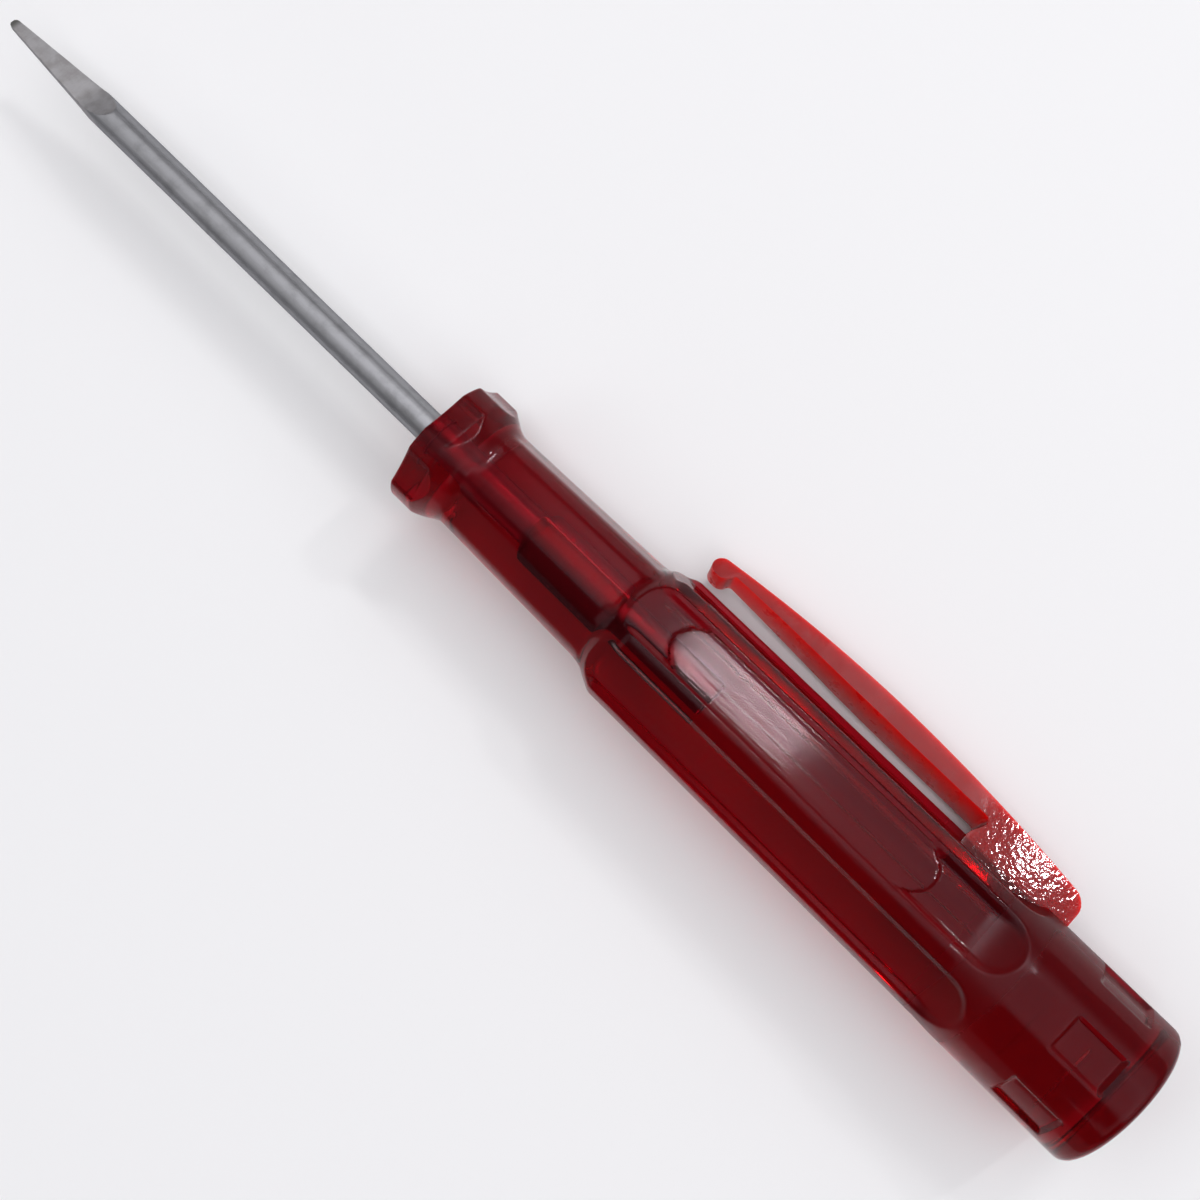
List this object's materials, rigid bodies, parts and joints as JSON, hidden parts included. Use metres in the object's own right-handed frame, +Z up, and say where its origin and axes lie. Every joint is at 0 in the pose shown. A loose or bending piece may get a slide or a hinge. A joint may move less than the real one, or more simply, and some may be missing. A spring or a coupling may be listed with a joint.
{
  "type": "pocket screwdriver",
  "caption": "Pocket screwdriver with a round steel blade and flat ground tip in a clear red six-sided handle, and a springy moulded clip on the handle's side.",
  "frame": {"origin": "on the blade's axis, where the shaft leaves the handle's front face", "axes": "+X along the shaft to the tip, +Z up from the table when the tool lies on its rear end and its clip, and the clip on the -Y side"},
  "size_m": [0.1374, 0.0177, 0.014],
  "materials": {
    "handle_plastic": "clear dark red moulded plastic, lightly scuffed",
    "blade_steel": "bright plated shaft with a matte ground tip",
    "clip_plastic": "translucent red moulded plastic with a fine grain"
  },
  "bodies": {
    "handle": {"handle": "handle_plastic", "blade": "blade_steel", "clip_foot": "clip_plastic"},
    "clip_arm": {"clip_arm": "clip_plastic"}
  },
  "joints": [
    {"name": "clip_flex", "type": "hinge", "parent": "handle", "child": "clip_arm", "pos_m": [-0.054, -0.00861, -0.00457], "axis": [0, 0.4685, -0.8835], "range_deg": [-2.3, 6], "stiffness_Nm_per_rad": 0.45}
  ]
}
